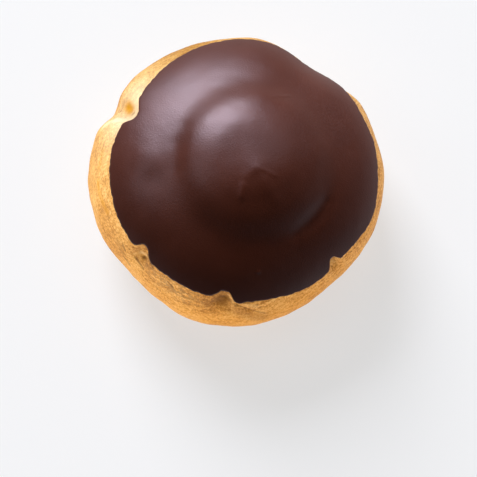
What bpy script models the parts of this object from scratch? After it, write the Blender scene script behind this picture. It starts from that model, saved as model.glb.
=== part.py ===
"""A large cream puff: a round, lobed bun of choux pastry under a cap of dark chocolate icing.

Metres, +Z up. The bun stands on its flat base at z = 0, and the origin is that base's centre. -Y is the
front. Every shape is a UV sphere whose points are moved onto the bun's skin, which is worked out below from
an azimuth round the Z axis (0 at +X, 90 degrees at +Y) and a polar angle down from the top.
"""

import math

import bmesh
import bpy

# The bun's overall form.
BUN_RADIUS = 0.0453  # at its widest level
FRONT_FLATNESS = 0.04  # share of that radius by which the front is drawn in
WIDEST_HEIGHT = 0.019
DOME_HEIGHT = 0.028  # from the widest level to the top, without the mound
DOME_FULLNESS = 2.2  # 2 is an ellipse, and more is squarer
BASE_RADIUS = 0.029
BASE_POLAR = math.radians(165)  # the skin meets the flat base here

# Where the dome bulges: how many times round the bun, the azimuth of one bulge, and its height.
LOBES = ((1, 83, 0.00135), (2, 21.5, 0.0024))

# The second mound on top, where the piping ended: its foot is steep, its top is flatter with a blunt tip, and
# a hollow lies along its foot on one side.
MOUND_CENTRE = (0.0046, 0.0013)
MOUND_RADIUS = 0.0196
MOUND_HEIGHT = 0.0044
MOUND_STEEPNESS = 5.8
HOLLOW_AZIMUTH = 318
HOLLOW_HALF_WIDTH = 20
HOLLOW_RADIUS = 0.0235
HOLLOW_WIDTH = 0.0022
HOLLOW_DEPTH = 0.0009
TIP_CENTRE = (0.0060, -0.0026)
TIP_RADIUS = 0.0130
TIP_HEIGHT = 0.00105

# Valleys between the bun's lobes: azimuth and half width in degrees, depth in metres, and reach up and down the
# side in degrees.
VALLEYS = (
    (54.2, 15.3, 0.0036, 40),
    (150.5, 5.8, 0.0023, 20),
    (224, 21, 0.0026, 38),
    (309.5, 24, 0.0023, 42),
)
VALLEY_POLAR = math.radians(80)  # the level where a valley is deepest
VALLEY_FREE = math.radians(35)  # the valleys fade out this near the top

# Creases where the skin sank as the bun cooled, and left a notch in the icing's edge: azimuth and half width
# on its two sides in degrees, the crease's depth in metres, and how far the icing stops short there, in
# degrees of polar angle.
CREASES = (
    (152.6, 7.4, 3.2, 0.0018, 5.1),
    (220.8, 3.4, 4.2, 0.0018, 5.7),
    (265.9, 6.0, 2.5, 0.0014, 5.4),
    (318.4, 3.3, 2.1, 0.0014, 6.1),
)
CREASE_SQUARENESS = 3  # of a crease's section: 2 is a bell, and more has a flatter bottom
CREASE_REACH = math.radians(9)  # half its length down the side
CREASE_BELOW_EDGE = math.radians(7)  # from the icing's edge to the crease's deepest point

# The icing: a cap that lies a little askew, so that it reaches lower down on the right than on the left.
ICING_EDGE_POLAR = math.radians(58.2)
ICING_SKEW = math.radians(5.9)
ICING_SKEW_AZIMUTH = math.radians(11.4)
# Where it ran down a little further, or less far: azimuth, half width and change of polar angle, in degrees.
ICING_RUNS = (
    (26.4, 11.3, -2.7),
    (58, 7, -1.5),
    (87.6, 18.5, 2),
    (144.4, 20.5, -4.7),
    (217.6, 21.6, 2.5),
    (305.8, 13.5, 3.8),
    (342, 12, 3.5),
)
ICING_THICKNESS = 0.0019
ICING_ROUNDING = 0.0018  # radius of its edge
ICING_GAP = 0.0003  # clearance to the bun

# The meshes. Both have the same rings under the icing, so that their facets lie parallel.
SEGMENTS = 112
CAP_RINGS = 15
SIDE_RINGS = 16
BASE_RINGS = 2


def turned_by(azimuth, degrees):
    """The angle from a direction given in degrees to an azimuth, from -pi to pi."""
    return (azimuth - math.radians(degrees) + math.pi) % math.tau - math.pi


def bell(offset, half_width):
    """1 at no offset, falling smoothly to 0 past the half width."""
    return math.exp(-((offset / half_width) ** 2))


def in_crease(azimuth, degrees, half_width_before, half_width_after):
    """1 in the middle of a crease, falling to 0 on each side."""
    turned = turned_by(azimuth, degrees)
    half_width = math.radians(half_width_before if turned < 0 else half_width_after)
    return math.exp(-(abs(turned / half_width) ** CREASE_SQUARENESS))


def icing_edge(azimuth):
    """The polar angle of the icing's edge."""
    polar = ICING_EDGE_POLAR + ICING_SKEW * math.cos(azimuth - ICING_SKEW_AZIMUTH)
    for degrees, half_width, run in ICING_RUNS:
        polar += math.radians(run) * bell(turned_by(azimuth, degrees), math.radians(half_width))
    for *place, _, notch in CREASES:
        polar -= math.radians(notch) * in_crease(azimuth, *place)
    return polar


def valley_depth(azimuth, polar):
    """How far the broad valleys between the lobes draw the skin in."""
    sunk = 0
    for degrees, half_width, depth, reach in VALLEYS:
        level = bell(polar - VALLEY_POLAR, math.radians(reach))
        sunk += depth * level * bell(turned_by(azimuth, degrees), math.radians(half_width))
    return sunk * (1 - bell(polar, VALLEY_FREE))


def crease_depth(azimuth, polar):
    """How far the creases draw the skin in."""
    level = bell(polar - icing_edge(azimuth) - CREASE_BELOW_EDGE, CREASE_REACH)
    return level * sum(depth * in_crease(azimuth, *place) for *place, depth, _ in CREASES)


def mound_height(x, y):
    """The height that the mound, its hollow and its tip add to the dome."""
    out = math.dist((x, y), MOUND_CENTRE)
    azimuth = math.atan2(y - MOUND_CENTRE[1], x - MOUND_CENTRE[0])
    mound = MOUND_HEIGHT * math.exp(-((out / MOUND_RADIUS) ** MOUND_STEEPNESS))
    beside = bell(turned_by(azimuth, HOLLOW_AZIMUTH), math.radians(HOLLOW_HALF_WIDTH))
    hollow = HOLLOW_DEPTH * bell(out - HOLLOW_RADIUS, HOLLOW_WIDTH) * beside
    tip = TIP_HEIGHT * max(0, 1 - math.dist((x, y), TIP_CENTRE) / TIP_RADIUS) ** 2
    return mound - hollow + tip


def lobe_height(azimuth, polar):
    """The height that the lobes add to the dome, none at its top and its widest level."""
    level = 2 * math.sin(polar) ** 2 * math.cos(polar)
    return level * sum(
        height * math.cos(times * turned_by(azimuth, degrees)) for times, degrees, height in LOBES
    )


def smooth_bun(azimuth, polar):
    """(x, y, z) on the bun before its valleys and creases."""
    radius = BUN_RADIUS * (1 - FRONT_FLATNESS * ((1 - math.sin(azimuth)) / 2) ** 2)
    if polar <= math.pi / 2:
        out = radius * math.sin(polar) ** (2 / DOME_FULLNESS)
        x, y = out * math.cos(azimuth), out * math.sin(azimuth)
        raised = mound_height(x, y) + lobe_height(azimuth, polar)
        return x, y, WIDEST_HEIGHT + DOME_HEIGHT * math.cos(polar) + raised
    if polar < BASE_POLAR:
        round_under = (polar - math.pi / 2) / (BASE_POLAR - math.pi / 2) * math.pi / 2
        out = BASE_RADIUS + (radius - BASE_RADIUS) * math.cos(round_under)
        z = WIDEST_HEIGHT * (1 - math.sin(round_under))
    else:
        out = BASE_RADIUS * (math.pi - polar) / (math.pi - BASE_POLAR)
        z = 0
    return out * math.cos(azimuth), out * math.sin(azimuth), z


def outward(x, y, z):
    """The unit direction out of the skin at a point, taken from the dome's ellipsoid."""
    normal = (x / BUN_RADIUS**2, y / BUN_RADIUS**2, (z - WIDEST_HEIGHT) / DOME_HEIGHT**2)
    length = math.hypot(*normal)
    return [part / length for part in normal]


def skin_point(azimuth, polar, raised=0.0, creased=True):
    """A point on the bun's skin, or raised metres above it. The base stays flat."""
    point = smooth_bun(azimuth, polar)
    if polar >= BASE_POLAR - 1e-6:
        return point
    sunk = valley_depth(azimuth, polar)
    if creased:
        sunk += crease_depth(azimuth, polar)
    above_base = min(1, point[2] / (WIDEST_HEIGHT / 2))
    shift = raised - sunk * above_base
    return [p + shift * n for p, n in zip(point, outward(*point))]


def icing_surface(azimuth, share, outer):
    """A point on the icing: share is 0 at the top and 1 at the edge, on its outer or its inner face."""
    edge = icing_edge(azimuth)
    raised = ICING_GAP
    if outer:
        edge_distance = (1 - share) * edge * BUN_RADIUS
        rounded = min(1, edge_distance / ICING_ROUNDING)
        raised += ICING_THICKNESS * math.sqrt(1 - (1 - rounded) ** 2)
    return skin_point(azimuth, share * edge, raised, creased=not outer)


def bun_polar(azimuth, ring):
    """The polar angle of the bun's rings, counted from the top: they follow the icing's edge."""
    edge = icing_edge(azimuth)
    if ring <= CAP_RINGS:
        return edge * math.sin(ring / CAP_RINGS * math.pi / 2)
    if ring <= CAP_RINGS + SIDE_RINGS:
        return edge + (BASE_POLAR - edge) * (ring - CAP_RINGS) / SIDE_RINGS
    return BASE_POLAR + (math.pi - BASE_POLAR) * (ring - CAP_RINGS - SIDE_RINGS) / BASE_RINGS


def moved_sphere(name, rings, place, material):
    """An object made from a UV sphere, each point moved to place(azimuth, ring), with ring 0 at the top."""
    mesh = bpy.data.meshes.new(name)
    sphere = bmesh.new()
    bmesh.ops.create_uvsphere(sphere, u_segments=SEGMENTS, v_segments=rings, radius=1)
    for vertex in sphere.verts:
        azimuth = math.atan2(vertex.co.y, vertex.co.x)
        polar = math.acos(max(-1, min(1, vertex.co.z)))
        vertex.co = place(azimuth, round(polar / math.pi * rings))
    sphere.to_mesh(mesh)
    sphere.free()
    mesh.shade_smooth()
    mesh.materials.append(material)
    return bpy.data.objects.new(name, mesh)


def make_material(name, colour, roughness):
    material = bpy.data.materials.new(name)
    material.use_nodes = True
    shader = material.node_tree.nodes["Principled BSDF"]
    shader.inputs["Base Color"].default_value = (*colour, 1)
    shader.inputs["Roughness"].default_value = roughness
    shader.inputs["Metallic"].default_value = 0
    return material


def make_bun():
    """The choux bun, solid, with its skin, creases and flat base."""
    return moved_sphere(
        "choux_bun",
        CAP_RINGS + SIDE_RINGS + BASE_RINGS,
        lambda azimuth, ring: skin_point(azimuth, bun_polar(azimuth, ring)),
        make_material("baked_choux", (0.66, 0.38, 0.13), 0.55),
    )


def make_icing():
    """The icing: the sphere's upper half is its outer face, and its lower half is folded up inside it."""

    def place(azimuth, ring):
        share = math.sin(ring / CAP_RINGS * math.pi / 2)
        return icing_surface(azimuth, share, outer=ring < CAP_RINGS)

    return moved_sphere(
        "chocolate_icing",
        2 * CAP_RINGS,
        place,
        make_material("dark_chocolate", (0.032, 0.012, 0.008), 0.3),
    )


def main():
    for obj in list(bpy.data.objects):
        bpy.data.objects.remove(obj, do_unlink=True)
    puff = bpy.data.collections.new("cream_puff")
    bpy.context.scene.collection.children.link(puff)
    puff.objects.link(make_bun())
    puff.objects.link(make_icing())


main()
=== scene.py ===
"""The looks of a large cream puff: a choux bun under a cap of dark chocolate icing, on a pale floor.

Metres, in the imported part's frame: +Z up, -Y the front, and the origin at the centre of the flat base. Both
pieces are fine spheres of rings and segments, placed on the bun's skin as in the part's own source: azimuth
runs round the Z axis from +X, and the polar angle runs down from the top.
"""

import math

import bpy
import numpy as np
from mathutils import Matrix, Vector


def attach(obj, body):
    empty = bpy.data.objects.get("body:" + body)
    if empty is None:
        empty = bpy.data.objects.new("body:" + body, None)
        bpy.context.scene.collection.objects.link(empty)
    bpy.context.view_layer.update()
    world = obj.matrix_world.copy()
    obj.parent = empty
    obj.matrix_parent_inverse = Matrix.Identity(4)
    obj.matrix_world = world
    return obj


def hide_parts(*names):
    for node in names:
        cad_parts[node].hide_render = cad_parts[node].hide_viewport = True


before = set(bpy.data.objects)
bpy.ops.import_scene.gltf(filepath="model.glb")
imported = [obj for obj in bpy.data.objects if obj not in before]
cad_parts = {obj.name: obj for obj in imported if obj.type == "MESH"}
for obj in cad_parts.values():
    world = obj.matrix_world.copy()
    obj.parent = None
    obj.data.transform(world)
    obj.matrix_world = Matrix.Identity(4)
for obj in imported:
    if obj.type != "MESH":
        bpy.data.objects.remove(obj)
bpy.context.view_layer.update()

IMAGE_SIZE = 477
MM = 0.001

# The bun's overall form, with the part's own values.
BUN_RADIUS = 0.0453
FRONT_FLATNESS = 0.04
WIDEST_HEIGHT = 0.019
DOME_HEIGHT = 0.028
DOME_FULLNESS = 2.2
BASE_RADIUS = 0.029
BASE_POLAR = math.radians(165)
LOBES = ((1, 83, 0.00135), (2, 21.5, 0.0024))

# The second mound on top.
MOUND_CENTRE = (0.0046, 0.0013)
MOUND_RADIUS = 0.0196
MOUND_HEIGHT = 0.0044
MOUND_STEEPNESS = 5.8
HOLLOW_AZIMUTH = 318
HOLLOW_HALF_WIDTH = 20
HOLLOW_RADIUS = 0.0235
HOLLOW_WIDTH = 0.0022
HOLLOW_DEPTH = 0.0009
TIP_CENTRE = (0.0060, -0.0026)
TIP_RADIUS = 0.0130
TIP_HEIGHT = 0.00105
TIP_ROUNDING = 0.0005  # the part's tip is sharp

# Valleys between the lobes: azimuth, half width, depth, and how far up the side each reaches.
VALLEYS = (
    (54.2, 15.3, 0.0036, 40),
    (150.5, 5.8, 0.0023, 20),
    (224, 21, 0.0026, 38),
    (309.5, 24, 0.0023, 42),
)
VALLEY_POLAR = math.radians(80)
VALLEY_FREE = math.radians(35)

# Creases below the icing's notches: azimuth, half width on each side, depth, and by how many degrees the
# icing stops short.
CREASES = (
    (152.6, 7.4, 3.2, 0.0018, 5.1),
    (220.8, 3.4, 4.2, 0.0018, 5.7),
    (265.9, 6.0, 2.5, 0.0014, 5.4),
    (318.4, 3.3, 2.1, 0.0014, 6.1),
)
CREASE_SQUARENESS = 3
CREASE_REACH = math.radians(9)
CREASE_BELOW_EDGE = math.radians(7)

# The icing's edge leans to one side, and in places it runs further down or less far: azimuth, half width and
# reach in degrees.
ICING_EDGE_POLAR = math.radians(58.2)
ICING_SKEW = math.radians(5.9)
ICING_SKEW_AZIMUTH = math.radians(11.4)
ICING_RUNS = (
    (26.4, 11.3, -2.7),
    (58, 7, -1.5),
    (87.6, 18.5, 2),
    (144.4, 20.5, -4.7),
    (217.6, 21.6, 2.5),
    (305.8, 13.5, 3.8),
    (342, 12, 3.5),
)
ICING_THICKNESS = 0.0019
ICING_ROUNDING = 0.0018
ICING_OVERLAP = 0.0001  # how far its underside lies in the bun, so that no gap shows

# The edge is finely wavy: waves round the bun, and their height in degrees of polar angle. At one notch it
# ran down in a drip: azimuth, half width and reach in degrees.
EDGE_WAVES = ((23, 0.10), (41, 0.12), (67, 0.11), (97, 0.10), (139, 0.08))
DRIP = (271.4, 2.4, 1.5)

# Low relief on the icing, from above, in millimetres: dents and bumps are (x, y, radius, height), and folds
# are (start, end, half width, height).
ICING_DENTS = (
    (-23.6, -4.3, 3.4, -0.40),
    (-26.0, 2.0, 5.0, 0.40),
    (6.4, -30.0, 0.45, 0.26),
)
ICING_FOLDS = (
    ((-15.0, 10.4), (-17.4, -1.6), 2.4, -0.12),
    ((-16.5, 5.2), (-17.4, -1.6), 2.2, -0.15),
    ((25.3, -10.6), (16.9, -19.6), 1.5, -0.12),
    ((5.2, -3.5), (2.8, -5.2), 1.3, 0.10),
    ((2.0, -7.8), (1.6, -10.4), 1.1, 0.23),
    ((7.4, -3.2), (11.0, -4.8), 0.7, 0.08),
    ((8.2, -6.8), (11.0, -11.0), 1.9, 0.15),
    ((10.0, 19.1), (12.6, 19.7), 0.32, 0.06),
    ((13.2, 19.6), (15.4, 20.0), 0.32, 0.11),
)
# A shallow dip rings the mound inside its edge.
RING_DIP_RADIUS = 0.0141
RING_DIP_WIDTH = 0.0036
RING_DIP_DEPTH = 0.00030

# Relief on the crust. Places are (azimuth, polar angle) in degrees, and sizes are in millimetres: dents and
# bumps are (place, radius, height), and folds are (start, end, half width, height).
CRUST_DENTS = (
    ((148.2, 58.8), 1.9, -0.60),
    ((155.0, 60.5), 1.7, 0.35),
    ((151.4, 46.5), 1.1, 0.25),
    ((222.6, 60.0), 1.0, -0.70),
    ((221.4, 57.0), 0.8, 0.35),
    ((262.2, 61.5), 2.4, -0.40),
    ((265.6, 58.6), 0.7, -0.45),
    ((317.8, 61.0), 0.7, -0.45),
)
CRUST_FOLDS = (
    ((219.4, 64.9), (225.6, 67.3), 0.40, -0.22),
    ((266.5, 57.0), (269.6, 59.8), 0.45, -0.30),
    ((269.6, 59.8), (275.9, 65.8), 0.50, -0.28),
    ((275.9, 65.8), (282.7, 76.0), 0.55, -0.20),
    ((270.5, 57.6), (277.5, 63.0), 0.80, 0.20),
    ((212.0, 66.0), (219.0, 70.0), 0.40, -0.10),
)
STREAK_STRETCH = 3.2  # the crust's streaks are this much longer round the bun than down its side
UNDERSIDE_POLAR = math.radians(95)  # where the crust starts to get lumpier
UNDERSIDE_REACH = math.radians(20)
RELIEF_BELOW_EDGE = math.radians(2)  # the relief sets in over this much below the icing's edge
RELIEF_ABOVE_BASE = 0.004  # and over this much above the base

# Marks of colour on the crust, spots and lines: (start, end, half width, strength).
GOLDEN_MARKS = (
    ((148.2, 55.8), (147.4, 58.6), 1.8, 1.0),
    ((169.5, 62.0), (177.0, 63.0), 0.9, 0.25),
    ((183.0, 63.5), (190.0, 63.0), 0.9, 0.40),
    ((190.0, 63.0), (197.0, 61.5), 0.9, 0.50),
)
# Pale marks are painted highlights, on the lips of the pits and the raised edges of the folds.
PAINTED_HIGHLIGHT_MARKS = (
    ((151.0, 46.5), (155.5, 61.0), 1.5, 1.0),
    ((156.0, 62.0), (158.0, 70.0), 1.5, 0.7),
    ((222.6, 56.8), (220.0, 59.0), 0.5, 0.7),
    ((266.6, 56.4), (269.8, 59.2), 0.5, 0.45),
    ((269.5, 57.6), (279.0, 63.0), 0.7, 0.25),
)
# Brown marks are painted shade, in the recesses under the notches and below the folds.
PAINTED_SHADE_MARKS = (
    ((150.6, 63.4), (145.6, 63.8), 0.6, 0.50),
    ((210.0, 66.0), (214.0, 70.0), 1.4, 0.35),
    ((262.4, 60.5), (264.0, 61.5), 1.9, 1.0),
    ((268.0, 65.5), (281.0, 76.5), 2.4, 0.40),
)
# Thin dark marks, crisp in the material: a mark's core shows, about half of its half width. They are painted
# shade in the creases, pits and fold lines, and a few real dark specks.
CREASE_SHADE_AND_SPECK_MARKS = (
    ((148.8, 51.4), (150.2, 52.2), 0.7, 0.85),
    ((222.2, 61.2), (223.8, 59.4), 0.9, 1.0),
    ((219.4, 64.9), (225.6, 67.3), 0.6, 1.0),
    ((215.5, 73.0), (219.4, 76.3), 0.7, 1.0),
    ((212.0, 63.5), (214.5, 66.0), 0.6, 1.0),
    ((226.4, 56.8), (229.0, 59.0), 0.6, 1.0),
    ((238.0, 60.6), (241.0, 61.8), 0.6, 1.0),
    ((262.6, 58.2), (265.6, 58.0), 1.0, 1.0),
    ((265.6, 58.0), (267.6, 60.6), 0.8, 1.0),
    ((267.6, 60.6), (270.0, 62.0), 0.8, 0.9),
    ((270.0, 61.0), (276.5, 65.4), 0.7, 0.85),
    ((276.5, 65.4), (282.0, 72.0), 0.6, 0.85),
    ((316.8, 61.2), (318.8, 60.2), 1.1, 1.0),
)
MARK_SHARPNESS = 3  # of a mark's outline: 2 is a bell, and more is crisper
CREASE_SHADE_AND_SPECK_SHARPNESS = 2

# Sides of the bun where the crust takes other colours, some of them painted light: azimuth and half width in
# degrees.
# At the back, on the window's side, the crust is darkened and turned golden as painted shade.
BACK = (108, 24)
# On the upper left the crust is lightened as a painted highlight.
UPPER_LEFT = (148, 17)
LEFT = (180, 18)
LOWER_LEFT = (240, 20)
FRONT = (280, 45)
# How far below the icing's edge those colours lie, in radians: the middle of each, and how far it reaches.
# The first pair places a thin painted contact shadow on the crust along the icing's edge.
CONTACT_SHADOW_MIDDLE = 0.004
CONTACT_SHADOW_REACH = 0.014
# How far below the icing's edge the painted highlight on the upper left reaches.
PAINTED_HIGHLIGHT_REACH = 0.30
GREYISH_MIDDLE = 0.10
GREYISH_REACH = 0.14
# The polar angle at which the crust starts to turn orange, and over how much more it does, in radians.
# The orange, strongest at the front, is partly the crust's deeper bake low down and partly painted golden
# bounce light.
ORANGE_POLAR = 1.05
ORANGE_REACH = 0.35

# The fine meshes.
SEGMENTS = 480
BUN_HIDDEN_RINGS = 8
BUN_SIDE_RINGS = 190
BUN_SIDE_CROWDING = 1.6  # above 1, the rings crowd below the icing's edge
BUN_BASE_RINGS = 6
ICING_OUTER_RINGS = 185
ICING_INNER_RINGS = 16


def turned_by(azimuth, degrees):
    """The angle from a direction given in degrees to each azimuth, from -pi to pi."""
    return (azimuth - math.radians(degrees) + math.pi) % math.tau - math.pi


def bell(offset, half_width):
    """1 at no offset, falling smoothly to 0 past the half width."""
    return np.exp(-((offset / half_width) ** 2))


def around(azimuth, degrees, half_width):
    """1 in one direction, falling smoothly to 0 past the half width. Both are in degrees."""
    return bell(turned_by(azimuth, degrees), math.radians(half_width))


def ripples(points, size, seed, waves=24):
    """Smooth random relief, mostly between -1 and 1, whose lumps are about one size across."""
    random = np.random.default_rng(seed)
    directions = random.normal(size=(waves, 3))
    directions /= np.linalg.norm(directions, axis=1, keepdims=True)
    phases = random.uniform(0, math.tau, waves)
    return np.sin(points @ directions.T * (math.tau / size) + phases).sum(axis=1) / math.sqrt(waves)


def in_crease(azimuth, degrees, half_width_before, half_width_after):
    """1 in the middle of a crease, falling to 0 on each side."""
    turned = turned_by(azimuth, degrees)
    half_width = np.radians(np.where(turned < 0, half_width_before, half_width_after))
    return np.exp(-(np.abs(turned / half_width) ** CREASE_SQUARENESS))


def icing_edge(azimuth):
    """The polar angle of the icing's edge."""
    polar = ICING_EDGE_POLAR + ICING_SKEW * np.cos(azimuth - ICING_SKEW_AZIMUTH)
    for *place, reach in (*ICING_RUNS, DRIP):
        polar = polar + math.radians(reach) * around(azimuth, *place)
    for *place, _, notch in CREASES:
        polar = polar - math.radians(notch) * in_crease(azimuth, *place)
    for waves, height in EDGE_WAVES:
        polar = polar + math.radians(height) * np.cos(waves * azimuth + waves**2)
    return polar


def valley_depth(azimuth, polar):
    """How far the broad valleys between the lobes draw the skin in."""
    sunk = 0
    for *place, depth, reach in VALLEYS:
        sunk = sunk + depth * around(azimuth, *place) * bell(polar - VALLEY_POLAR, math.radians(reach))
    return sunk * (1 - bell(polar, VALLEY_FREE))


def crease_depth(azimuth, polar):
    """How far the creases draw the skin in."""
    level = bell(polar - icing_edge(azimuth) - CREASE_BELOW_EDGE, CREASE_REACH)
    return level * sum(depth * in_crease(azimuth, *place) for *place, depth, _ in CREASES)


def mound_height(x, y):
    """The height that the mound, its hollow and its tip add to the dome."""
    out = np.hypot(x - MOUND_CENTRE[0], y - MOUND_CENTRE[1])
    azimuth = np.arctan2(y - MOUND_CENTRE[1], x - MOUND_CENTRE[0])
    mound = MOUND_HEIGHT * np.exp(-((out / MOUND_RADIUS) ** MOUND_STEEPNESS))
    beside = around(azimuth, HOLLOW_AZIMUTH, HOLLOW_HALF_WIDTH)
    hollow = HOLLOW_DEPTH * bell(out - HOLLOW_RADIUS, HOLLOW_WIDTH) * beside
    from_tip = np.hypot(np.hypot(x - TIP_CENTRE[0], y - TIP_CENTRE[1]), TIP_ROUNDING) - TIP_ROUNDING
    return mound - hollow + TIP_HEIGHT * np.maximum(0, 1 - from_tip / TIP_RADIUS) ** 2


def lobe_height(azimuth, polar):
    """The height that the lobes add to the dome, none at its top and its widest level."""
    level = 2 * np.sin(polar) ** 2 * np.cos(polar)
    return level * sum(
        height * np.cos(times * turned_by(azimuth, degrees)) for times, degrees, height in LOBES
    )


def smooth_bun(azimuth, polar):
    """Points on the bun before its valleys and creases."""
    radius = BUN_RADIUS * (1 - FRONT_FLATNESS * ((1 - np.sin(azimuth)) / 2) ** 2)
    on_dome = polar <= math.pi / 2
    round_under = np.clip((polar - math.pi / 2) / (BASE_POLAR - math.pi / 2), 0, 1) * math.pi / 2
    out = np.select(
        [on_dome, polar < BASE_POLAR],
        [
            radius * np.sin(polar) ** (2 / DOME_FULLNESS),
            BASE_RADIUS + (radius - BASE_RADIUS) * np.cos(round_under),
        ],
        BASE_RADIUS * (math.pi - polar) / (math.pi - BASE_POLAR),
    )
    x, y = out * np.cos(azimuth), out * np.sin(azimuth)
    raised = mound_height(x, y) + lobe_height(azimuth, polar)
    z = np.select(
        [on_dome, polar < BASE_POLAR],
        [WIDEST_HEIGHT + DOME_HEIGHT * np.cos(polar) + raised, WIDEST_HEIGHT * (1 - np.sin(round_under))],
        0.0,
    )
    return np.column_stack([x, y, z])


def outward(points):
    """The unit direction out of the skin at each point, taken from the dome's ellipsoid."""
    normal = (points - (0, 0, WIDEST_HEIGHT)) / (BUN_RADIUS**2, BUN_RADIUS**2, DOME_HEIGHT**2)
    return normal / np.linalg.norm(normal, axis=1, keepdims=True)


def pushed(points, distance):
    """Points moved out of the skin."""
    return points + distance[:, None] * outward(points)


def skin(azimuth, polar, raised=0.0, creased=True):
    """Points on the bun's skin, or raised metres above it. The base stays flat."""
    points = smooth_bun(azimuth, polar)
    sunk = valley_depth(azimuth, polar)
    if creased:
        sunk = sunk + crease_depth(azimuth, polar)
    above_base = np.clip(points[:, 2] / (WIDEST_HEIGHT / 2), 0, 1)
    return pushed(points, np.where(polar < BASE_POLAR - 1e-6, raised - sunk * above_base, 0))


def sphere_grid(name, rings, place):
    """A sphere of rings and segments, its points at place(azimuth, ring), with ring 0 at the top."""
    ring, segment = np.divmod(np.arange((rings - 1) * SEGMENTS), SEGMENTS)
    ring = np.concatenate([[0], ring + 1, [rings]])
    segment = np.concatenate([[0], segment, [0]])
    points, masks = place(segment * (math.tau / SEGMENTS), ring)

    here = np.arange(SEGMENTS)
    after = (here + 1) % SEGMENTS
    first = 1 + SEGMENTS * np.arange(rings - 2)[:, None]
    below = first + SEGMENTS
    quads = np.stack([first + here, below + here, below + after, first + after], axis=-1)
    last = 1 + SEGMENTS * (rings - 2)
    top = np.column_stack([np.zeros(SEGMENTS, int), 1 + here, 1 + after])
    bottom = np.column_stack([np.full(SEGMENTS, len(ring) - 1), last + after, last + here])

    mesh = bpy.data.meshes.new(name)
    mesh.from_pydata(points, [], [*top.tolist(), *quads.reshape(-1, 4).tolist(), *bottom.tolist()])
    for mask, values in masks.items():
        mesh.attributes.new(mask, "FLOAT", "POINT").data.foreach_set("value", values.astype(np.float32))
    mesh.shade_smooth()
    obj = bpy.data.objects.new(name, mesh)
    bpy.context.scene.collection.objects.link(obj)
    return obj


def bun_polar(azimuth, ring):
    """The polar angle of the bun's rings: they crowd on the side that shows, and follow the icing's edge."""
    edge = icing_edge(azimuth)
    side_end = BUN_HIDDEN_RINGS + BUN_SIDE_RINGS
    down_side = np.clip((ring - BUN_HIDDEN_RINGS) / BUN_SIDE_RINGS, 0, 1) ** BUN_SIDE_CROWDING
    return np.select(
        [ring <= BUN_HIDDEN_RINGS, ring <= side_end],
        [edge * ring / BUN_HIDDEN_RINGS, edge + (BASE_POLAR - edge) * down_side],
        BASE_POLAR + (math.pi - BASE_POLAR) * (ring - side_end) / BUN_BASE_RINGS,
    )


def crust_place(place):
    """The point on the bun's skin at an azimuth and a polar angle in degrees."""
    azimuth, polar = np.radians(place)
    return skin(np.array([azimuth]), np.array([polar]))[0]


def from_segment(points, start, end):
    """Each point's distance from the line between two points, which may be one and the same."""
    start, along = np.asarray(start), np.subtract(end, start)
    share = np.clip((points - start) @ along / max(along @ along, 1e-12), 0, 1)
    return np.linalg.norm(points - start - share[:, None] * along, axis=1)


def marked(points, marks, sharpness=MARK_SHARPNESS):
    """A mask of the crust's spots and lines of one colour."""
    mask = 0
    for start, end, half_width, strength in marks:
        distance = from_segment(points, crust_place(start), crust_place(end)) / (half_width * MM)
        mask = np.maximum(mask, strength * np.exp(-(distance**sharpness)))
    return mask


def crust_relief(points, polar):
    """The crust's waves, fine streaks, dents and folds, in metres."""
    along = np.column_stack([points[:, 0], points[:, 1], STREAK_STRETCH * BUN_RADIUS * polar])
    underneath = np.clip((polar - UNDERSIDE_POLAR) / UNDERSIDE_REACH, 0, 1)
    relief = (
        (0.20 + 0.25 * underneath) * ripples(points, 17 * MM, seed=1)
        + (0.07 + 0.10 * underneath) * ripples(points, 6.5 * MM, seed=2)
        + 0.035 * ripples(along, 6 * MM, seed=3)
        + 0.015 * ripples(along, 2.5 * MM, seed=6)
    )
    for place, radius, height in CRUST_DENTS:
        at = crust_place(place)
        relief = relief + height * bell(from_segment(points, at, at), radius * MM)
    for start, end, half_width, height in CRUST_FOLDS:
        distance = from_segment(points, crust_place(start), crust_place(end))
        relief = relief + height * bell(distance, half_width * MM)
    return relief * MM


def crust_masks(points, azimuth, polar):
    """Where the crust takes other colours."""
    below_edge = polar - icing_edge(azimuth)
    sunk = crease_depth(azimuth, polar) / max(depth for *_, depth, _ in CREASES)
    painted_contact_shadow = bell(below_edge - CONTACT_SHADOW_MIDDLE, CONTACT_SHADOW_REACH)
    painted_upper_left_highlight = around(azimuth, *UPPER_LEFT) * bell(below_edge, PAINTED_HIGHLIGHT_REACH)
    low = np.clip((polar - ORANGE_POLAR) / ORANGE_REACH, 0, 1)
    return {
        # Painted shade: in the creases, in a thin line along the icing's edge, and on the brown marks.
        "painted_shade": np.maximum(np.maximum(0.4 * sunk, 0.45 * painted_contact_shadow), marked(points, PAINTED_SHADE_MARKS)),
        "dark": marked(points, CREASE_SHADE_AND_SPECK_MARKS, CREASE_SHADE_AND_SPECK_SHARPNESS),
        "golden": marked(points, GOLDEN_MARKS),
        "greyish": around(azimuth, *LOWER_LEFT) * bell(below_edge - GREYISH_MIDDLE, GREYISH_REACH),
        "pale": np.maximum(0.9 * painted_upper_left_highlight, marked(points, PAINTED_HIGHLIGHT_MARKS)),
        "even": around(azimuth, *LEFT),
        "orange": low * (0.35 + 0.65 * around(azimuth, *FRONT)),
        "back": around(azimuth, *BACK),
    }


def place_bun(azimuth, ring):
    """The bun's points and colour masks. Its relief spares what the icing hides, and the flat base."""
    polar = bun_polar(azimuth, ring)
    points = skin(azimuth, polar)
    shows = np.clip((polar - icing_edge(azimuth)) / RELIEF_BELOW_EDGE, 0, 1)
    above_base = np.clip(points[:, 2] / RELIEF_ABOVE_BASE, 0, 1)
    relief = shows * above_base * crust_relief(points, polar)
    return pushed(points, relief), crust_masks(points, azimuth, polar)


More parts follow.
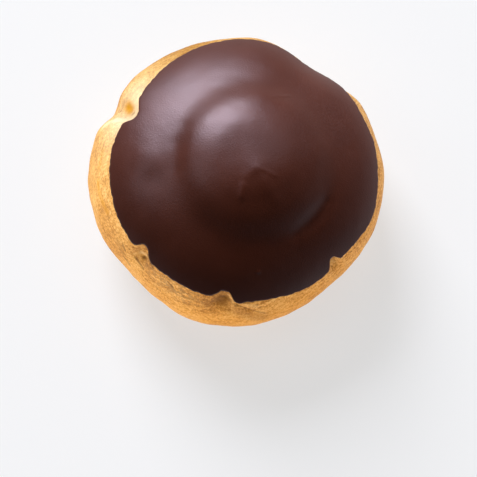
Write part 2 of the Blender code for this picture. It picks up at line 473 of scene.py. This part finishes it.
def icing_relief(points):
    """The icing's low dents, bumps and folds, in metres."""
    flat = points[:, :2] / MM
    relief = 0
    for x, y, radius, height in ICING_DENTS:
        relief = relief + height * bell(from_segment(flat, (x, y), (x, y)), radius)
    for start, end, half_width, height in ICING_FOLDS:
        relief = relief + height * bell(from_segment(flat, start, end), half_width)
    out = np.hypot(points[:, 0] - MOUND_CENTRE[0], points[:, 1] - MOUND_CENTRE[1])
    waves = 0.03 * ripples(points, 12 * MM, seed=4) + 0.008 * ripples(points, 4 * MM, seed=5)
    return (relief + waves) * MM - RING_DIP_DEPTH * bell(out - RING_DIP_RADIUS, RING_DIP_WIDTH)


def place_icing(azimuth, ring):
    """The icing's points and masks: its outside down to the edge, then its underside back to the middle."""
    outer = ring < ICING_OUTER_RINGS
    share = np.where(
        outer,
        np.sin(ring / ICING_OUTER_RINGS * math.pi / 2),
        1 - (ring - ICING_OUTER_RINGS) / ICING_INNER_RINGS,
    )
    edge = icing_edge(azimuth)
    rounded = np.clip((1 - share) * edge * BUN_RADIUS / ICING_ROUNDING, 0, 1)
    raised = np.where(outer, ICING_THICKNESS * np.sqrt(1 - (1 - rounded) ** 2), -ICING_OVERLAP)
    polar = share * edge
    points = skin(azimuth, polar, raised, creased=False)
    points = pushed(points, -np.where(outer, 0, crease_depth(azimuth, polar)))
    points = pushed(points, outer * icing_relief(points))
    # How far into its rounded rim each point lies, for the painted light there.
    return points, {"painted_rim_light": 1 - rounded}


class Nodes:
    """Builds a material's node tree: each call adds a node and returns one of its outputs."""

    def __init__(self, name):
        self.material = bpy.data.materials.new(name)
        self.material.use_nodes = True
        self.tree = self.material.node_tree
        self.shader = self.tree.nodes["Principled BSDF"]

    def put(self, socket, value):
        if isinstance(value, bpy.types.NodeSocket):
            self.tree.links.new(value, socket)
        else:
            socket.default_value = value

    def node(self, kind, inputs=(), output=0, **settings):
        node = self.tree.nodes.new("ShaderNode" + kind)
        for key, value in settings.items():
            setattr(node, key, value)
        for key, value in dict(inputs).items():
            self.put(node.inputs[key], value)
        return node.outputs[output]

    def set(self, **values):
        for key, value in values.items():
            self.put(self.shader.inputs[key.replace("_", " ")], value)

    def noise(self, scale, detail=3, roughness=0.5, stretch=None):
        place = self.node("TexCoord", output="Object")
        if stretch:
            place = self.node("Mapping", {"Vector": place, "Scale": stretch})
        return self.node(
            "TexNoise", {"Vector": place, "Scale": scale, "Detail": detail, "Roughness": roughness}
        )

    def math(self, operation, first, second, clamp=False):
        return self.node("Math", {0: first, 1: second}, operation=operation, use_clamp=clamp)

    def mask(self, name):
        return self.node("Attribute", output="Fac", attribute_name=name)

    def ramp(self, factor, *stops):
        node = self.tree.nodes.new("ShaderNodeValToRGB")
        self.put(node.inputs[0], factor)
        elements = node.color_ramp.elements
        while len(elements) < len(stops):
            elements.new(0.5)
        for element, (position, colour) in zip(elements, stops):
            element.position = position
            element.color = (*colour, 1)
        return node.outputs[0]

    def mix(self, factor, first, second, blend="MIX"):
        inputs = {"Factor": factor, 6: first, 7: second}
        return self.node("Mix", inputs, output=2, data_type="RGBA", blend_type=blend)

    def tint(self, colour, mask, share, towards, blend="MIX"):
        """A colour turned towards another where a mask says, and by a share."""
        factor = self.math("MULTIPLY", self.mask(mask), share, clamp=True)
        return self.mix(factor, colour, (*towards, 1), blend)

    def span(self, value, low, high):
        """A 0 to 1 value spread over another range."""
        return self.node("MapRange", {"Value": value, "To Min": low, "To Max": high})

    def bump(self, height, strength, distance, under=None):
        inputs = {"Height": height, "Strength": strength, "Distance": distance}
        return self.node("Bump", {**inputs, "Normal": under} if under else inputs)


def choux_material():
    make = Nodes("baked_choux")
    broad = make.noise(70, detail=3)
    streaks = make.noise(640, detail=5, roughness=0.65, stretch=(0.36, 0.36, 1.8))
    grain = make.noise(1400, detail=4, roughness=0.75)
    tone = make.math("ADD", make.math("MULTIPLY", broad, 0.22), make.math("MULTIPLY", streaks, 0.28))
    tone = make.math("ADD", tone, make.math("MULTIPLY", grain, 0.50))
    colour = make.ramp(
        tone,
        (0.43, (0.34, 0.155, 0.035)),
        (0.47, (0.58, 0.30, 0.080)),
        (0.52, (0.73, 0.42, 0.125)),
        (0.57, (0.86, 0.58, 0.250)),
    )
    colour = make.tint(colour, "even", 0.3, (0.64, 0.37, 0.12))
    # Painted highlight: paler on the upper left and on the pale marks.
    colour = make.tint(colour, "pale", 0.85, (0.93, 0.78, 0.52))
    # Partly the deeper bake low down, partly painted golden bounce light.
    colour = make.tint(colour, "orange", 0.5, (0.74, 0.35, 0.03))
    # Painted shade: darker and more golden at the back.
    colour = make.tint(colour, "back", 1.0, (0.60, 0.50, 0.22), blend="MULTIPLY")
    blotches = make.noise(900, detail=4, roughness=0.7, stretch=(0.6, 0.6, 1.3))
    mottled = make.ramp(blotches, (0.44, (0.8, 0.8, 0.8)), (0.54, (0, 0, 0)))
    colour = make.tint(colour, "greyish", mottled, (0.33, 0.19, 0.085))
    colour = make.tint(colour, "golden", 1.0, (0.60, 0.28, 0.0))
    # Painted shade, browner in the creases, along the icing's edge and on the brown marks.
    colour = make.tint(colour, "painted_shade", 0.85, (0.24, 0.115, 0.028))
    # Painted shade in the creases, pits and fold lines, with a few real dark specks.
    dark = make.ramp(make.mask("dark"), (0.50, (0, 0, 0)), (0.90, (0.6, 0.6, 0.6)))
    colour = make.mix(dark, colour, (0.15, 0.070, 0.020, 1))
    bump = make.bump(grain, 0.7, 0.11 * MM, under=make.bump(streaks, 0.5, 0.12 * MM))
    make.set(Base_Color=colour, Roughness=make.span(streaks, 0.46, 0.64), Normal=bump)
    make.set(Specular_IOR_Level=0.35)
    return make.material


def chocolate_material():
    make = Nodes("dark_chocolate")
    cloudy = make.noise(90, detail=2)
    colour = make.ramp(cloudy, (0.3, (0.055, 0.0130, 0.0060)), (0.7, (0.066, 0.0160, 0.0074)))
    # Painted light: the icing's rounded rim is made lighter and redder, for light that no lamp here gives it.
    painted_rim_light = make.math("POWER", make.mask("painted_rim_light"), 2.0)
    colour = make.mix(make.math("MULTIPLY", painted_rim_light, 0.8, clamp=True), colour, (0.26, 0.090, 0.040, 1))
    bump = make.bump(make.noise(2400, detail=2, roughness=0.6), 0.7, 0.07 * MM)
    make.set(Base_Color=colour, Roughness=make.span(make.noise(300), 0.355, 0.425), Normal=bump)
    make.set(Specular_Tint=(1.0, 0.86, 1.0, 1))
    return make.material


FLOOR_SIZE = 6
FLOOR_GLOW = 0.63


def floor_material():
    make = Nodes("floor")
    make.set(Base_Color=(0.30, 0.303, 0.31, 1), Roughness=0.8, Specular_IOR_Level=0.2)
    make.set(Emission_Color=(0.99, 0.995, 1.0, 1), Emission_Strength=FLOOR_GLOW)
    return make.material


def dress(obj, node, material):
    obj.data.materials.append(material)
    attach(obj, "root")
    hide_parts(node)


def make_floor():
    """A pale floor that shows in no reflection, because in the photo the tray hides it from the bun."""
    bpy.ops.mesh.primitive_plane_add(size=FLOOR_SIZE)
    floor = bpy.context.object
    floor.name = "floor"
    floor.data.materials.append(floor_material())
    floor.visible_glossy = False


# The camera looks almost straight down from the front, and holds the bun a little above the middle.
CAMERA_TILT = math.radians(12)
CAMERA_DISTANCE = 0.404
CAMERA_LENS = 100
CAMERA_SENSOR = 36
BUN_PIXEL = (236, 184)


def make_camera():
    data = bpy.data.cameras.new("camera")
    data.lens = CAMERA_LENS
    data.sensor_width = CAMERA_SENSOR
    camera = bpy.data.objects.new("camera", data)
    bpy.context.scene.collection.objects.link(camera)
    bpy.context.scene.camera = camera
    target = Vector((0, 0, WIDEST_HEIGHT))
    away = Vector((0, -math.sin(CAMERA_TILT), math.cos(CAMERA_TILT)))
    camera.location = target + CAMERA_DISTANCE * away
    focal = CAMERA_LENS / CAMERA_SENSOR * IMAGE_SIZE
    right = math.atan2(BUN_PIXEL[0] - IMAGE_SIZE / 2, focal)
    up = math.atan2(IMAGE_SIZE / 2 - BUN_PIXEL[1], focal)
    camera.rotation_euler = (CAMERA_TILT - up, 0, 0)
    camera.rotation_euler.rotate_axis("Y", right)


# Soft lights, as (azimuth, elevation, distance, width, height, radiance, colour): a window behind the bun on
# the left, one on its left, a light above, fills for the icing, and low warm reflectors round the crust.
WINDOW = (112.5, 34.5, 2.5, 1.25, 1.25, 19.4, (0.95, 0.95, 1.0))
SIDE_WINDOW = (174, 51, 2.5, 1.1, 1.1, 1.7, (1.0, 1.0, 1.0))
CEILING = (62, 63, 2.0, 0.85, 0.85, 1.3, (1.0, 1.0, 1.0))
FILLS = (
    (45, 32, 1.2, 0.8, 0.8, 4.4, (1.0, 0.98, 0.96)),
    (192, 10, 1.2, 0.8, 0.8, 0.6, (1.0, 0.66, 0.50)),
)
REFLECTORS = (
    (195, 6, 0.5, 0.3, 0.3, 3.9, (1.0, 0.76, 0.42)),
    (235, 6, 0.5, 0.3, 0.3, 7.6, (1.0, 0.76, 0.44)),
    (285, 6, 0.5, 0.3, 0.3, 1.7, (1.0, 0.72, 0.38)),
    (330, 6, 0.5, 0.3, 0.3, 4.5, (1.0, 0.68, 0.30)),
    (15, 6, 0.5, 0.3, 0.3, 3.0, (1.0, 0.75, 0.42)),
)
# The room's light by the direction it comes from: brightest low down at the back and on the right, and dark
# at the front on the left.
ROOM_LIGHT = 0.04
ROOM_BACK = 0.12
ROOM_RIGHT = 0.14
ROOM_UP = -0.07
# From below the horizon comes more, which only reflections see. It sets in between two heights of direction.
GROUND_LIGHT = 0.40
GROUND_START = 0.02
GROUND_END = -0.10


def make_area_light(name, azimuth, elevation, distance, width, height, radiance, colour):
    data = bpy.data.lights.new(name, "AREA")
    data.shape = "RECTANGLE"
    data.size, data.size_y = width, height
    data.energy = radiance * math.pi * width * height
    data.color = colour
    light = bpy.data.objects.new(name, data)
    bpy.context.scene.collection.objects.link(light)
    azimuth, elevation = math.radians(azimuth), math.radians(elevation)
    flat = math.cos(elevation)
    direction = Vector((flat * math.cos(azimuth), flat * math.sin(azimuth), math.sin(elevation)))
    light.location = direction * distance
    light.rotation_euler = direction.to_track_quat("Z", "Y").to_euler()
    light.visible_camera = False
    return light


def light_only(light, obj):
    """Let a light shine on one piece alone, and show in no reflection."""
    receivers = bpy.data.collections.new(light.name + "_receivers")
    receivers.objects.link(obj)
    light.light_linking.receiver_collection = receivers
    light.visible_glossy = False


def make_room_light():
    world = bpy.data.worlds.new("room")
    bpy.context.scene.world = world
    world.use_nodes = True
    tree = world.node_tree
    place = tree.nodes.new("ShaderNodeTexCoord")
    lean = tree.nodes.new("ShaderNodeVectorMath")
    lean.operation = "DOT_PRODUCT"
    lean.inputs[1].default_value = (ROOM_RIGHT, ROOM_BACK, ROOM_UP)
    light = tree.nodes.new("ShaderNodeMath")
    light.inputs[1].default_value = ROOM_LIGHT
    light.use_clamp = True
    height = tree.nodes.new("ShaderNodeSeparateXYZ")
    ground = tree.nodes.new("ShaderNodeMapRange")
    ground.inputs["From Min"].default_value = GROUND_START
    ground.inputs["From Max"].default_value = GROUND_END
    ground.inputs["To Max"].default_value = GROUND_LIGHT
    both = tree.nodes.new("ShaderNodeMath")
    tree.links.new(place.outputs["Generated"], lean.inputs[0])
    tree.links.new(place.outputs["Generated"], height.inputs[0])
    tree.links.new(height.outputs["Z"], ground.inputs["Value"])
    tree.links.new(lean.outputs["Value"], light.inputs[0])
    tree.links.new(light.outputs[0], both.inputs[0])
    tree.links.new(ground.outputs["Result"], both.inputs[1])
    tree.links.new(both.outputs[0], tree.nodes["Background"].inputs["Strength"])
    tree.nodes["Background"].inputs["Color"].default_value = (0.97, 0.985, 1.0, 1)


def main():
    make_camera()
    make_room_light()
    make_floor()
    bun = sphere_grid("bun", BUN_HIDDEN_RINGS + BUN_SIDE_RINGS + BUN_BASE_RINGS, place_bun)
    dress(bun, "choux_bun", choux_material())
    icing = sphere_grid("icing", ICING_OUTER_RINGS + ICING_INNER_RINGS, place_icing)
    dress(icing, "chocolate_icing", chocolate_material())
    make_area_light("window", *WINDOW)
    make_area_light("side_window", *SIDE_WINDOW)
    make_area_light("ceiling", *CEILING)
    for count, fill in enumerate(FILLS, 1):
        light_only(make_area_light(f"fill_{count}", *fill), icing)
    for count, reflector in enumerate(REFLECTORS, 1):
        light_only(make_area_light(f"reflector_{count}", *reflector), bun)
    bpy.context.scene.view_settings.view_transform = "Standard"


main()
